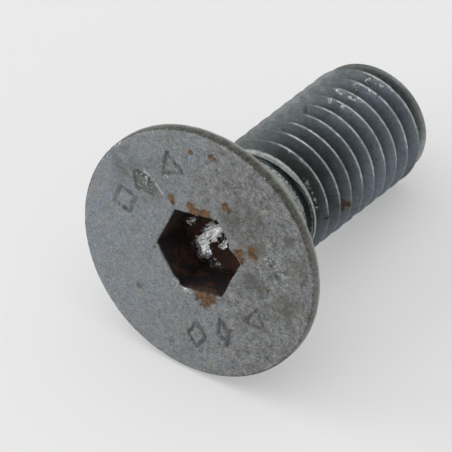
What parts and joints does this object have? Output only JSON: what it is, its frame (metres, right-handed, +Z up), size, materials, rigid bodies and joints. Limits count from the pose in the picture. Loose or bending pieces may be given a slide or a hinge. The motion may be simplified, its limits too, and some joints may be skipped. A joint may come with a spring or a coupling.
{
  "type": "countersunk socket screw",
  "caption": "Countersunk socket screw of dark worn steel: flat head over a right-angled cone, hexagon socket, short neck and a fully threaded shank, lying on its side.",
  "frame": {"origin": "on the surface the screw lies on, under the middle of its box", "axes": "+Y along the screw's length from head to tip, seen from above; +Z up; the screw's own axis dips 12.9 degrees below +Y towards the tip"},
  "size_m": [0.016, 0.0216, 0.0157],
  "materials": {
    "dark_steel": "worn dark phosphate over steel, with specks of bare metal and small rust spots"
  },
  "bodies": {
    "root": {"screw": "dark_steel"}
  },
  "joints": []
}
